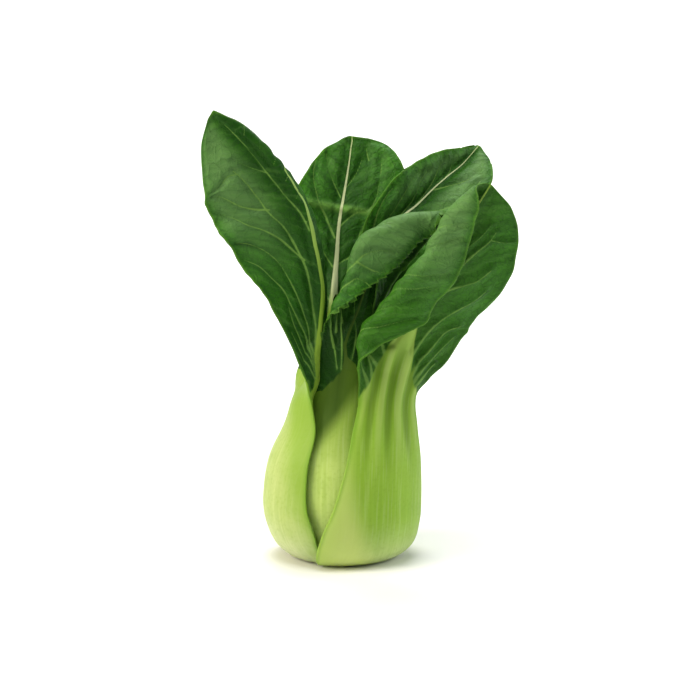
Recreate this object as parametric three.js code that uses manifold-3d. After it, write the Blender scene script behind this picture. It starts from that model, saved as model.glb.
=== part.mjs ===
// A head of baby bok choy, trimmed and standing on its cut base. Millimetres, +Z up, origin at the
// middle of the cut. Every leaf is a thick pale stalk that swells into the bulb and a thin green
// blade that opens above it; the leaves grow in a spiral from one short stem, outermost first.
import * as THREE from "three";
import { mergeVertices } from "three/addons/utils/BufferGeometryUtils.js";
import Module from "manifold-3d";

const wasm = await Module();
wasm.setup();

// ---- Driving dimensions ------------------------------------------------------------------------
const GAP = 0.3; // clear space between neighbouring pieces
const STEM_RADIUS = 9.5; // stem at the cut
const STEM_HEIGHT = 16;
const EDGE_THICKNESS = 0.9; // blade, and the thin margins of a stalk
const STALK_THICKNESS = 8.5; // middle of a stalk in the bulb
const FOOT_SHARE = 0.55; // share of that thickness left where the stalk meets the stem
const NECK_THICKNESS = 6; // middle of a stalk where the blade begins
const RIB_THICKNESS = 1.3; // midrib at the tip of the blade
const RIB_HALF_WIDTH = 5; // midrib where the blade begins
const RIB_TIP_HALF_WIDTH = 1.2;
const RIB_OUTWARDS = 0.7; // share of the midrib's thickness that stands out at the back
const RIDGE_HEIGHT = 0.2; // lengthwise ridges on the back of a stalk
const RIDGES_PER_HALF = 2;
const RIDGES_FROM = 12; // distances along a stalk between which the ridges rise
const RIDGES_FULL = 30;
const WAVE_HEIGHT = 0.5; // waved edge of a blade
const WAVE_LENGTH = 27;
const LIFT_ROUNDING = 3; // distance from the midrib over which a half takes its lift
const TIP_ROW_EASING = 1.5; // above 1, rows crowd towards the tip of a blade

// ---- Leaf tables -------------------------------------------------------------------------------
// A leaf is a list of stations from the base of the stalk to the tip of the blade:
//   at    x, y, z of the middle of the leaf's back
//   side  compass direction in degrees, anticlockwise from +X, in which the second half spreads
//   half  widths of the first and the second half, measured along the leaf
//   lift  degrees by which each half leaves the midrib towards the inner face, minus for outwards
//   curl  degrees by which each half turns further on its way to the edge
//   zone  shares of each half's width between which it makes that turn
const FLAT = [0, 0];
const WHOLE = [0, 1, 0, 1];

// In a stalk both halves follow a circle round the heart of the head.
function stalk(at, side, half, radius) {
  const curl = half.map((width) => THREE.MathUtils.radToDeg(width / radius));
  return { at, side, half, lift: FLAT, curl, zone: WHOLE, stalk: 1 };
}

function blade(at, side, half, lift = FLAT, curl = FLAT, zone = WHOLE) {
  return { at, side, half, lift, curl, zone, stalk: 0 };
}

const outerLeaves = [
  {
    name: "leaf_front_right",
    stations: [
      stalk([5.5, -8.9, 3.2], 33, [9, 9], 11),
      stalk([9.3, -15, 0.8], 33, [17, 15.5], 17.5),
      stalk([12.3, -19.7, 1], 33, [22.5, 20], 25),
      stalk([15.1, -24.3, 6], 33, [26, 24], 32),
      stalk([16.8, -27, 16], 33, [25, 26], 34),
      stalk([17.2, -27.2, 25], 33, [21.5, 26.5], 34),
      stalk([17.8, -25, 40], 31, [17.2, 23], 31),
      stalk([18.3, -20.5, 54], 28, [14.5, 17.5], 27),
      stalk([18.8, -17, 66], 24, [12.5, 14.3], 25),
      blade([20.3, -15.3, 76], 18, [16.5, 17], FLAT, [-50, 26], [0.5, 1, 0, 1]),
      blade([22.2, -15, 83.5], 14, [27, 21.5], [4, 4], [-155, 18], [0.53, 0.83, 0, 1]),
      blade([24.7, -15, 90], 12, [33, 24], [5, 5], [-172, 20], [0.43, 0.73, 0, 1]),
      blade([28.1, -16, 99.5], 8, [34, 26], [8, 5], [-185, 20], [0.29, 0.6, 0, 1]),
      blade([33.5, -18, 107.3], 6, [32, 26], [8, 5], [-188, 20], [0.29, 0.62, 0, 1]),
      blade([39.5, -20, 115.5], 4, [29.5, 26.3], [8, 5], [-188, 20], [0.26, 0.62, 0, 1]),
      blade([45, -22, 129], 2, [25.5, 26], [8, 5], [-188, 20], [0.23, 0.62, 0, 1]),
      blade([50.2, -24, 139.6], 0, [19.5, 21], [8, 5], [-178, 15], [0.2, 0.72, 0, 1]),
      blade([54.4, -25.9, 146.8], 0, [11.5, 11.8], [5, 5], [-140, 10], [0.14, 0.85, 0, 1]),
      blade([56.5, -27, 150.5], 0, [1, 1]),
    ],
  },
  {
    name: "leaf_left",
    stations: [
      stalk([-9.9, -3.4, 3.2], 289, [9, 9], 11),
      stalk([-16.5, -5.6, 0.8], 289, [16, 16], 17.5),
      stalk([-20.5, -7.1, 1.2], 289, [20, 19.5], 22),
      stalk([-26, -9, 6.5], 289, [23.5, 25], 28),
      stalk([-29.6, -10.2, 16], 289, [27, 27], 31.2),
      stalk([-30.2, -10.5, 25], 289, [28, 25], 31.6),
      stalk([-27.8, -10.5, 40], 290, [23, 22], 29.5),
      stalk([-21.8, -10, 54], 290, [15, 17.6], 24.5),
      stalk([-19.4, -9.4, 64], 285, [12.5, 14], 22),
      blade([-14, -9, 74], 264, [12, 12.5], [-30, 0], [0, 10]),
      blade([-9.8, -10, 89], 215, [12, 15], [-50, 0], [-10, 10]),
      blade([-8.4, -11, 104.7], 190, [14, 21], [-80, 4], [-10, 12]),
      blade([-9.3, -11, 117.3], 182, [16, 27], [-85, 5], [-10, 14]),
      blade([-11.6, -11, 128.3], 180, [16, 30], [-86, 5], [-10, 14]),
      blade([-15.1, -11, 139.2], 180, [14, 32], [-85, 5], [-10, 14]),
      blade([-20.1, -11, 148.5], 180, [11, 32.5], [-86, 5], [-10, 14]),
      blade([-25.9, -12, 156.7], 180, [8, 31.4], [-86, 5], [-10, 12]),
      blade([-32.3, -13, 164.4], 180, [5.5, 29.4], [-86, 5], [-8, 10]),
      blade([-40.7, -14, 171.4], 180, [3, 21.8], [-84, 4], [-5, 6]),
      blade([-46.4, -15.3, 175.4], 180, [1.8, 13.5], [-70, 2]),
      blade([-49.6, -16, 177.6], 180, [0.8, 3]),
    ],
  },
  {
    name: "leaf_back_right",
    stations: [
      stalk([8.3, 6.5, 3.2], 128, [9, 9], 11),
      stalk([13.8, 10.8, 0.8], 128, [15, 16], 17.5),
      stalk([18.1, 14.2, 1], 128, [19, 21], 23),
      stalk([22.5, 17.6, 6], 128, [21, 24.5], 28.6),
      stalk([25, 19.5, 16], 128, [21.5, 27], 31.7),
      stalk([25.2, 19.7, 25], 128, [21, 27.5], 32),
      stalk([23.6, 18.5, 40], 130, [20, 24], 30),
      stalk([20, 15.8, 54], 132, [16, 18], 26),
      stalk([16.8, 13, 66], 135, [12, 13], 22),
      stalk([15.2, 11.2, 80], 140, [10, 10], 20),
      blade([15, 11, 96], 148, [10, 10], FLAT, [25, 25]),
      blade([16, 11, 112], 156, [18, 10.5], [8, 18], [20, 10]),
      blade([18.8, 12.3, 126], 165, [22, 11.5], [18, 36], [0, -5]),
      blade([23.2, 14, 134.2], 174, [22.5, 12.9], [22, 45], [-10, -10]),
      blade([30.3, 17.5, 140], 180, [20.5, 15.2], [26, 46], [-15, -12]),
      blade([37.1, 21, 146.4], 180, [19, 13.5], [26, 44], [-15, -12]),
      blade([43.3, 24, 151.7], 180, [18.3, 11.5], [25, 40], [-12, -10]),
      blade([48.8, 27, 156], 180, [16.5, 8.5], [22, 36], [-8, -8]),
      blade([53.2, 29.6, 160.5], 180, [10, 4], [16, 24]),
      blade([56.2, 31.6, 163.6], 180, [1, 1]),
    ],
  },
  {
    name: "leaf_front",
    stations: [
      stalk([-1.2, -9, 6.5], 352, [8, 8], 10),
      stalk([-2.2, -16, 3.5], 352, [11, 10], 13),
      stalk([-3.2, -23, 6.5], 352, [13, 12], 17),
      stalk([-4, -27, 14], 352, [15, 13.5], 19),
      stalk([-4.3, -29, 26], 352, [16, 14], 20),
      stalk([-4, -27, 40], 352, [15, 13], 19),
      stalk([-3.3, -22, 54], 354, [12, 12], 16),
      stalk([-2.2, -17.2, 66], 356, [10, 10.5], 14.5),
      blade([-0.8, -13.8, 78], 358, [9, 10], FLAT, [24, 30]),
      blade([1, -12.8, 86], 359, [9.5, 10], FLAT, [0, 25], [0.3, 1, 0, 1]),
      blade([3.2, -12, 93], 360, [11.5, 9.5], FLAT, [-70, 15], [0.35, 1, 0, 1]),
      blade([6, -11.3, 100], 361, [16.5, 9], [3, 5], [-150, 15], [0.36, 0.88, 0, 1]),
      blade([9.1, -10.5, 108.7], 362, [20, 9], [8, 8], [-185, 15], [0.27, 0.74, 0, 1]),
      blade([12.8, -10, 115.6], 363, [27, 9.5], [10, 8], [-190, 15], [0.25, 0.61, 0, 1]),
      blade([16.9, -9.5, 122.3], 364, [31, 10], [10, 8], [-192, 15], [0.25, 0.56, 0, 1]),
      blade([21.5, -9.2, 127.5], 365, [27, 10], [10, 8], [-192, 15], [0.22, 0.56, 0, 1]),
      blade([26.7, -9, 131.3], 366, [20, 9], [8, 8], [-185, 10], [0.18, 0.58, 0, 1]),
      blade([34, -8.3, 134.5], 368, [13, 6], [5, 5], [-170, 5], [0.15, 0.6, 0, 1]),
      blade([42.5, -8, 137], 368, [1, 1]),
    ],
  },
  {
    name: "leaf_back",
    stations: [
      stalk([-2.8, 9.6, 4.2], 196, [8, 8], 10),
      stalk([-4.3, 15, 2], 196, [12, 14], 15),
      stalk([-5.8, 20.2, 3.8], 196, [14, 18], 19),
      stalk([-6.9, 24.2, 11], 196, [14.5, 20], 23),
      stalk([-7.5, 26.2, 24], 196, [14, 21], 24),
      stalk([-7.1, 24.6, 40], 195, [12.5, 17.5], 21),
      stalk([-6, 20.5, 54], 193, [11, 13], 18),
      stalk([-5, 17, 66], 190, [9.5, 10.5], 16),
      stalk([-4.6, 14.8, 80], 186, [9.5, 10], 18),
      blade([-4.4, 14.4, 94], 183, [13, 13], FLAT, [18, 18]),
      blade([-4.1, 15.5, 106], 180, [17, 18], [3, 3], [18, 18]),
      blade([-3.1, 19, 119], 180, [21, 22], [3, 3], [18, 18]),
      blade([-2.1, 23, 131.8], 180, [25, 22], [2, 2], [14, 14]),
      blade([-0.1, 26.5, 143.9], 180, [25, 18.5], [2, 2], [12, 12]),
      blade([1.8, 30, 155.5], 180, [24, 13.3], [2, 2], [10, 10]),
      blade([2.7, 31.7, 162.2], 180, [19.8, 8.8], [2, 2], [8, 8]),
      blade([3.2, 32.4, 165.5], 180, [15.7, 4.3]),
      blade([3.25, 32.65, 166.7], 180, [12.4, 2.6]),
      blade([3.3, 32.8, 167.6], 180, [7.5, 0.8]),
    ],
  },
];

// The heart: five younger leaves on the same spiral, each shorter, slimmer and nearer the middle.
const SPIRAL_STEP = 137.5;
const HEART_FIRST_AZIMUTH = 345;
const HEART = [
  { height: 128, bulb: 20, neck: 10, lean: 8, width: 9.5, thickness: 0.7 },
  { height: 106, bulb: 17, neck: 8, lean: 1, width: 9, thickness: 0.62 },
  { height: 104, bulb: 13.5, neck: 6, lean: 0, width: 7.5, thickness: 0.55 },
  { height: 88, bulb: 9.5, neck: 4, lean: 0.5, width: 6.5, thickness: 0.45 },
  { height: 68, bulb: 5.5, neck: 2, lean: 1, width: 4.5, thickness: 0.4 },
];
const HEART_CENTRE = new THREE.Vector3(6, 0, 0); // where the necks gather, off the stem's axis

function heartLeaf(size, index) {
  const azimuth = HEART_FIRST_AZIMUTH - SPIRAL_STEP * index;
  const turn = THREE.MathUtils.degToRad(azimuth);
  const side = azimuth + 90;
  const both = (width) => [width, width];
  const place = (radius, z) => {
    const shift = THREE.MathUtils.smoothstep(z, 20, 75) * HEART_CENTRE.x;
    return [Math.cos(turn) * radius + shift, Math.sin(turn) * radius, z];
  };
  const { bulb, neck, lean, width, height, thickness } = size;
  const neckHeight = 0.62 * height;
  const middle = 0.5 * (bulb + neck);
  const narrowest = Math.max(neck, 6); // radius that the necks and blades curl round
  const opening = (share, widthShare, radiusShare) => {
    const at = place(neck + lean * share * share, neckHeight + (height - neckHeight) * share);
    const curl = THREE.MathUtils.radToDeg((width * widthShare) / (narrowest * radiusShare));
    return blade(at, side, both(width * widthShare), FLAT, both(curl));
  };
  return {
    name: `leaf_heart_${index + 1}`,
    thickness,
    fine: false,
    stations: [
      stalk(place(0.5 * bulb, 9), side, both(0.35 * bulb), 0.5 * bulb),
      stalk(place(0.85 * bulb, 11), side, both(0.6 * bulb), 0.8 * bulb),
      stalk(place(bulb, 24), side, both(0.75 * bulb), bulb),
      stalk(place(middle, 0.7 * neckHeight), side, both(0.8 * width), 0.8 * bulb),
      stalk(place(neck, neckHeight), side, both(0.62 * width), narrowest),
      opening(0.3, 0.85, 1.2),
      opening(0.6, 1, 1.5),
      opening(0.85, 0.72, 1.8),
      opening(0.96, 0.36, 2),
      opening(1, 0.1, 2),
    ],
  };
}

// ---- Shape of a leaf ---------------------------------------------------------------------------
// Smooth value between the stations' numbers, by cubic pieces with sloped joins.
function smoothValue(knots, values, position) {
  let i = 0;
  while (i < knots.length - 2 && position > knots[i + 1]) i++;
  const slope = (j) => {
    const a = Math.max(j - 1, 0);
    const b = Math.min(j + 1, knots.length - 1);
    return (values[b] - values[a]) / (knots[b] - knots[a]);
  };
  const span = knots[i + 1] - knots[i];
  const t = (position - knots[i]) / span;
  const t2 = t * t;
  const t3 = t2 * t;
  return (
    values[i] * (2 * t3 - 3 * t2 + 1) +
    slope(i) * span * (t3 - 2 * t2 + t) +
    values[i + 1] * (3 * t2 - 2 * t3) +
    slope(i + 1) * span * (t3 - t2)
  );
}

class Leaf {
  constructor({ name, stations, thickness = 1, fine = true }) {
    this.name = name;
    this.fine = fine;
    this.thickness = thickness;
    const points = stations.map((station) => new THREE.Vector3(...station.at));
    this.knots = [0];
    for (let i = 1; i < points.length; i++) {
      this.knots.push(this.knots[i - 1] + points[i].distanceTo(points[i - 1]));
    }
    this.length = this.knots[points.length - 1];
    this.bladeStart = this.knots[stations.findIndex((station) => !station.stalk)];
    const column = (read) => stations.map(read);
    this.table = {
      x: column((s) => s.at[0]),
      y: column((s) => s.at[1]),
      z: column((s) => s.at[2]),
      side: column((s) => s.side),
      stalk: column((s) => s.stalk),
      half: [0, 1].map((k) => column((s) => s.half[k])),
      lift: [0, 1].map((k) => column((s) => s.lift[k])),
      curl: [0, 1].map((k) => column((s) => s.curl[k])),
      zone: [0, 1, 2, 3].map((k) => column((s) => s.zone[k])),
    };
  }

  read(values, along) {
    return smoothValue(this.knots, values, along);
  }

  middle(along) {
    const { x, y, z } = this.table;
    return new THREE.Vector3(this.read(x, along), this.read(y, along), this.read(z, along));
  }

  // Share of the way from the stalk's neck (0) to the tip (1), 0 all down the stalk.
  opened(along) {
    return THREE.MathUtils.clamp((along - this.bladeStart) / (this.length - this.bladeStart), 0, 1);
  }

  // Point of the leaf's back at a distance along it and a share across it, from -1 to 1.
  back(along, across) {
    const step = 0.5; // mm each way for the direction along the leaf
    const tangent = this.middle(Math.min(along + step, this.length))
      .sub(this.middle(Math.max(along - step, 0)))
      .normalize();
    const turn = THREE.MathUtils.degToRad(this.read(this.table.side, along));
    const side = new THREE.Vector3(Math.cos(turn), Math.sin(turn), 0);
    const level = THREE.MathUtils.clamp(this.read(this.table.stalk, along), 0, 1);
    const inwards = new THREE.Vector3(-side.y, side.x, 0).multiplyScalar(level);
    side.addScaledVector(tangent, -side.dot(tangent) * (1 - level)).normalize();
    inwards.addScaledVector(new THREE.Vector3().crossVectors(tangent, side), 1 - level).normalize();

    const k = across < 0 ? 0 : 1;
    const sign = across < 0 ? -1 : 1;
    const width = Math.max(this.read(this.table.half[k], along), 0.5);
    const lift = THREE.MathUtils.degToRad(this.read(this.table.lift[k], along));
    const curl = THREE.MathUtils.degToRad(this.read(this.table.curl[k], along));
    const from = this.read(this.table.zone[2 * k], along);
    const to = this.read(this.table.zone[2 * k + 1], along);
    const point = this.middle(along);
    const steps = 24; // of the walk out from the midrib
    const share = Math.abs(across) / steps;
    for (let i = 0; i < steps; i++) {
      const q = (i + 0.5) * share;
      const rounding = THREE.MathUtils.smoothstep(q * width, 0, LIFT_ROUNDING);
      const angle = lift * rounding + curl * THREE.MathUtils.clamp((q - from) / (to - from), 0, 1);
      point.addScaledVector(side, sign * width * share * Math.cos(angle));
      point.addScaledVector(inwards, width * share * Math.sin(angle));
    }
    return point;
  }

  // Unit vector from the back of the leaf towards its inner face.
  inward(along, across) {
    const ds = 0.4; // mm along
    const du = 0.02; // share across
    const lengthwise = this.back(Math.min(along + ds, this.length), across)
      .sub(this.back(Math.max(along - ds, 0), across));
    const crosswise = this.back(along, Math.min(across + du, 1))
      .sub(this.back(along, Math.max(across - du, -1)));
    return lengthwise.cross(crosswise).normalize();
  }

  // Back and inner face of the leaf, grown outwards by a clearance.
  faces(along, across, grow) {
    const { lerp, smoothstep } = THREE.MathUtils;
    const opened = this.opened(along);
    const width = this.read(this.table.half[across < 0 ? 0 : 1], along);

    // Thickness over the middle: foot, bulb and neck of the stalk, then the tapering midrib.
    const foot = lerp(FOOT_SHARE, 1, 1 - Math.exp(-along / STEM_RADIUS));
    const neck = smoothstep(along, 0.45 * this.bladeStart, this.bladeStart);
    const stalkMiddle = lerp(STALK_THICKNESS, NECK_THICKNESS, neck) * foot;
    const middle = this.thickness * lerp(stalkMiddle, RIB_THICKNESS, 1 - (1 - opened) ** 2.2);

    // Across the leaf it falls to the thickness of the edge, over the whole half of a stalk and
    // over the width of the midrib in a blade.
    const bladeRib = lerp(RIB_HALF_WIDTH, RIB_TIP_HALF_WIDTH, opened);
    const ribHalf = lerp(width, bladeRib, Math.min(1, opened * 8));
    const q = Math.min((Math.abs(across) * width) / ribHalf, 1);
    const fullness = (1 - q * q) ** lerp(0.8, 1.4, Math.min(1, opened * 4));
    const swelling = Math.max(middle - EDGE_THICKNESS, 0.2) * fullness;

    const ridgeHeight = RIDGE_HEIGHT * this.thickness * smoothstep(along, RIDGES_FROM, RIDGES_FULL);
    const ridgeFade = Math.max(0, 1 - opened * 5) * (1 - q * q);
    const ridge = ridgeHeight * ridgeFade * Math.cos(2 * Math.PI * across * RIDGES_PER_HALF);
    const waveHeight = WAVE_HEIGHT * Math.min(1, opened * 3) * across * across;
    const wave = waveHeight * Math.sin((2 * Math.PI * along) / WAVE_LENGTH + (across < 0 ? 0 : 2));

    const outwards = RIB_OUTWARDS * Math.min(1, opened * 3) * swelling;
    const inward = this.inward(along, across);
    const back = this.back(along, across);
    const outer = back.clone().addScaledVector(inward, wave - outwards - ridge - grow);
    const inner = back.addScaledVector(inward, wave - outwards + EDGE_THICKNESS + swelling + grow);
    return { outer, inner };
  }

  // Closed solid of the leaf between two distances along it: a grid for the back, the same grid
  // for the inner face, and a rim that joins their edges. Growing it widens it all round.
  geometry({ from, to, rows, columns }, grow = 0) {
    const sheet = (side) => {
      const grid = new THREE.PlaneGeometry(2, 1, columns, rows);
      const position = grid.getAttribute("position");
      for (let i = 0; i < position.count; i++) {
        const share = position.getY(i) + 0.5;
        const eased = to === this.length ? 1 - (1 - share) ** TIP_ROW_EASING : share;
        let along = THREE.MathUtils.lerp(from, to, eased);
        if (share === 0) along = Math.max(along - grow, 0);
        if (share === 1) along = Math.min(along + grow, this.length);
        let across = position.getX(i);
        const half = this.read(this.table.half[across < 0 ? 0 : 1], along);
        if (Math.abs(across) === 1) across *= 1 + grow / half;
        const face = this.faces(along, across, grow)[side];
        position.setXYZ(i, face.x, face.y, face.z);
      }
      return grid;
    };
    const outer = sheet("outer");
    const inner = sheet("inner");
    const offset = outer.getAttribute("position").count;
    const index = [...outer.index.array];
    for (const vertex of [...inner.index.array].reverse()) {
      index.push(vertex + offset);
    }
    const stride = columns + 1;
    const edge = [];
    for (let i = 0; i < columns; i++) edge.push(i);
    for (let i = 0; i < rows; i++) edge.push(columns + i * stride);
    for (let i = 0; i < columns; i++) edge.push(rows * stride + columns - i);
    for (let i = 0; i < rows; i++) edge.push((rows - i) * stride);
    edge.forEach((a, i) => {
      const b = edge[(i + 1) % edge.length];
      index.push(a, b, b + offset, a, b + offset, a + offset);
    });
    const points = new Float32Array([
      ...outer.getAttribute("position").array,
      ...inner.getAttribute("position").array,
    ]);
    return new THREE.BufferGeometry()
      .setAttribute("position", new THREE.BufferAttribute(points, 3))
      .setIndex(index);
  }
}

// ---- Stem --------------------------------------------------------------------------------------
// The short solid stem, cut flat at the root; the leaves' feet close round it.
function stemGeometry(grow = 0) {
  const radius = STEM_RADIUS + grow;
  const top = STEM_HEIGHT + grow;
  const profile = [
    new THREE.Vector2(0, -grow),
    new THREE.Vector2(radius, -grow),
    new THREE.Vector2(radius - 0.5, 0.35 * top),
    new THREE.Vector2(0.8 * radius, 0.65 * top),
    new THREE.Vector2(0.45 * radius, 0.9 * top),
    new THREE.Vector2(0, top),
  ];
  return new THREE.LatheGeometry(profile, 28).rotateX(Math.PI / 2);
}

// ---- Solids and cuts ---------------------------------------------------------------------------
function toSolid(geometry) {
  const bare = new THREE.BufferGeometry()
    .setAttribute("position", geometry.getAttribute("position"))
    .setIndex(geometry.index);
  const merged = mergeVertices(bare, 1e-4);
  return new wasm.Manifold(
    new wasm.Mesh({
      numProp: 3,
      vertProperties: merged.getAttribute("position").array,
      triVerts: new Uint32Array(merged.index.array),
    }),
  );
}

function toGeometry(solid) {
  const { vertProperties, triVerts } = solid.getMesh();
  return new THREE.BufferGeometry()
    .setAttribute("position", new THREE.BufferAttribute(vertProperties, 3))
    .setIndex(new THREE.BufferAttribute(triVerts, 1));
}

function largestBody(solid) {
  return solid.decompose().reduce((a, b) => (b.volume() > a.volume() ? b : a));
}

const materials = {
  stem: new THREE.MeshStandardMaterial({ color: "#b9b684", roughness: 0.7, metalness: 0 }),
  stalk: new THREE.MeshStandardMaterial({ color: "#aac652", roughness: 0.4, metalness: 0 }),
  blade: new THREE.MeshStandardMaterial({ color: "#2f5f20", roughness: 0.45, metalness: 0 }),
};

const head = new THREE.Group();

function addPiece(name, material, solid) {
  const mesh = new THREE.Mesh(toGeometry(solid), material);
  mesh.name = name;
  head.add(mesh);
}

addPiece("stem", materials.stem, toSolid(stemGeometry()));

// An older leaf keeps its shape; a younger one gives way wherever the two press together.
const olderPieces = [toSolid(stemGeometry(GAP))];
const leaves = [...outerLeaves, ...HEART.map(heartLeaf)].map((leaf) => new Leaf(leaf));
for (const leaf of leaves) {
  const columns = leaf.fine ? 16 : 6;
  const spans = [
    { part: "stalk", from: 0, to: leaf.bladeStart - GAP, rows: leaf.fine ? 9 : 6, columns },
    { part: "blade", from: leaf.bladeStart, to: leaf.length, rows: leaf.fine ? 14 : 7, columns },
  ];
  const clearances = [];
  for (const span of spans) {
    let piece = toSolid(leaf.geometry(span));
    clearances.push(toSolid(leaf.geometry(span, GAP)).add(piece));
    for (const older of olderPieces) {
      piece = piece.subtract(older);
    }
    addPiece(`${leaf.name}_${span.part}`, materials[span.part], largestBody(piece));
  }
  olderPieces.push(...clearances);
}

export default head;
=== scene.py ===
import math

import bmesh
import bpy
import numpy as np
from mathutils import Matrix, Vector


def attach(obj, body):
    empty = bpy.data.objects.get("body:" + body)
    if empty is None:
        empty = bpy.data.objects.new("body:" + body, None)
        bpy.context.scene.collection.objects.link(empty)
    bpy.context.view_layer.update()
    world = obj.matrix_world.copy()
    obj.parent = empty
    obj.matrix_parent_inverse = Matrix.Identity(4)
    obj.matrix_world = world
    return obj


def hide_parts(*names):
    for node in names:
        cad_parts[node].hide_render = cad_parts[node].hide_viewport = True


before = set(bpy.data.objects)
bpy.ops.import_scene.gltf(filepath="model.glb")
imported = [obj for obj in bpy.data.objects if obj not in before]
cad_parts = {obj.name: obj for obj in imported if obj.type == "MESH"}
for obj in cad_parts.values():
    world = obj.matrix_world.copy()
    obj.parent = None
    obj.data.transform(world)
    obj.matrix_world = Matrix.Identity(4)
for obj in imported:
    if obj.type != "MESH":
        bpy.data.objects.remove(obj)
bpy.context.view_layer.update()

# ---- Stem --------------------------------------------------------------------------------------
# The short solid stem that carries every leaf, sliced across at the root with a knife. It is
# crisp white tissue in a ring of green-gold conducting bundles, and the air has tanned the cut.
MM = 0.001  # sizes are written in millimetres, the scene is in metres
STEM_PROFILE = [(9.5, 0), (9.3, 2.8), (9.0, 5.6), (8.4, 8), (7.6, 10.4), (6.2, 12.6), (4.3, 14.4)]
STEM_TOP = 16
CUT_RINGS = [9.1, 8.4, 7.4, 6.2, 5, 3.8, 2.6, 1.4]  # radii at which the cut face is modelled
ROUND_STEPS = 120


def linear(colour):
    """sRGB hex to the linear values that shaders take."""
    parts = [int(colour[i : i + 2], 16) / 255 for i in (1, 3, 5)]
    return [c / 12.92 if c <= 0.04045 else ((c + 0.055) / 1.055) ** 2.4 for c in parts] + [1.0]


def add_node(tree, kind, inputs=None, out=0, **settings):
    """Adds a node with its settings and links, and gives back one of its outputs."""
    node = tree.nodes.new("ShaderNode" + kind)
    for name, value in settings.items():
        setattr(node, name, value)
    for name, value in (inputs or {}).items():
        if isinstance(value, bpy.types.NodeSocket):
            tree.links.new(value, node.inputs[name])
        elif isinstance(value, str):
            node.inputs[name].default_value = linear(value)
        else:
            node.inputs[name].default_value = value
    return node.outputs[out]


def new_material(name, numbers):
    """A material, its node tree and its shader, set to the numbers that hold all over it."""
    material = bpy.data.materials.new(name)
    material.use_nodes = True
    shader = material.node_tree.nodes["Principled BSDF"]
    for socket, value in numbers.items():
        shader.inputs[socket].default_value = value
    return material, material.node_tree, shader


def new_piece(name, bm):
    """The finished mesh as an object in the scene, shaded smooth."""
    mesh = bpy.data.meshes.new(name)
    bm.to_mesh(mesh)
    bm.free()
    mesh.shade_smooth()
    piece = bpy.data.objects.new(name, mesh)
    bpy.context.collection.objects.link(piece)
    return piece


def stand_for(piece, slot, *nodes):
    """Puts a finished piece on the one body in place of its CAD nodes."""
    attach(piece, "root")
    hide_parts(*nodes)


def cut_stem():
    bm = bmesh.new()
    points = [(0, STEM_TOP), *reversed(STEM_PROFILE), *((r, 0) for r in CUT_RINGS), (0, 0)]
    verts = [bm.verts.new((r * MM, 0, z * MM)) for r, z in points]
    edges = [bm.edges.new(pair) for pair in zip(verts, verts[1:])]
    bmesh.ops.spin(
        bm, geom=verts + edges, cent=(0, 0, 0), axis=(0, 0, 1), angle=math.tau,
        steps=ROUND_STEPS, use_merge=True, use_duplicate=False,
    )
    bmesh.ops.remove_doubles(bm, verts=bm.verts, dist=1e-6)
    bmesh.ops.recalc_face_normals(bm, faces=bm.faces)
    for v in bm.verts:
        radius = math.hypot(v.co.x, v.co.y) / MM
        turn = math.atan2(v.co.y, v.co.x)
        lobes = 0.25 * math.cos(5 * turn + 0.6) + 0.12 * math.cos(13 * turn + 2)
        v.co.x += lobes * radius / 9.5 * math.cos(turn) * MM
        v.co.y += lobes * radius / 9.5 * math.sin(turn) * MM
        if v.co.z < 1e-6 and radius < 9.3:  # the cut dries a little hollow, proud at its bundles
            bundles = math.exp(-(((radius - 6.4) / 0.9) ** 2)) * (0.6 + 0.4 * math.cos(17 * turn))
            v.co.z += (0.45 * (1 - (radius / 9.3) ** 2) + 0.1 - 0.16 * bundles) * MM
    return new_piece("stem_cut", bm)


def cut_tissue():
    """Raw brassica stem, knife-cut: matt and moist, pale pith, golden bundles, tanned rim."""
    material, tree, shader = new_material(
        "raw stem tissue, knife cut", {"Roughness": 0.6, "IOR": 1.4})
    place = add_node(tree, "TexCoord", out="Object")
    flat = add_node(tree, "VectorMath", {0: place, 1: (1000, 1000, 0)}, operation="MULTIPLY")
    radius = add_node(tree, "VectorMath", {0: flat}, out="Value", operation="LENGTH")
    patches = add_node(tree, "TexNoise", {"Vector": flat, "Scale": 0.35, "Detail": 4})
    wavy = add_node(tree, "Math", {0: patches, 1: 3.4, 2: radius}, operation="MULTIPLY_ADD")
    share = add_node(tree, "Math", {0: wavy, 1: 12.0}, operation="DIVIDE")
    rings = add_node(tree, "ValToRGB", {0: share})
    ramp = rings.node.color_ramp
    for position, colour in ((0.3, "#e4dcb4"), (0.6, "#d6c78f"), (0.72, "#b9a35c"),
                             (0.8, "#a8a548"), (0.9, "#93a24a")):
        ramp.elements.new(position).color = linear(colour)
    ramp.elements[0].color = linear("#eee8c8")
    ramp.elements[-1].color = linear("#86a044")
    fibres = add_node(tree, "TexVoronoi", {"Vector": flat, "Scale": 1.1})
    dried = add_node(tree, "MapRange", {
        "Value": fibres, "From Min": 0.15, "From Max": 0.5, "To Min": 0.35, "To Max": 0.0,
    })
    colour = add_node(
        tree, "Mix", {"Factor": dried, 6: rings, 7: "#8d7440"}, out=2, data_type="RGBA")
    grain = add_node(tree, "TexNoise", {"Vector": flat, "Scale": 2.2, "Detail": 6})
    bump = add_node(tree, "Bump", {"Height": grain, "Strength": 0.5, "Distance": 0.3 * MM})
    tree.links.new(colour, shader.inputs["Base Color"])
    tree.links.new(bump, shader.inputs["Normal"])
    return material


stem = cut_stem()
stem.data.materials.append(cut_tissue())
stand_for(stem, "stem", "stem")

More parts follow.
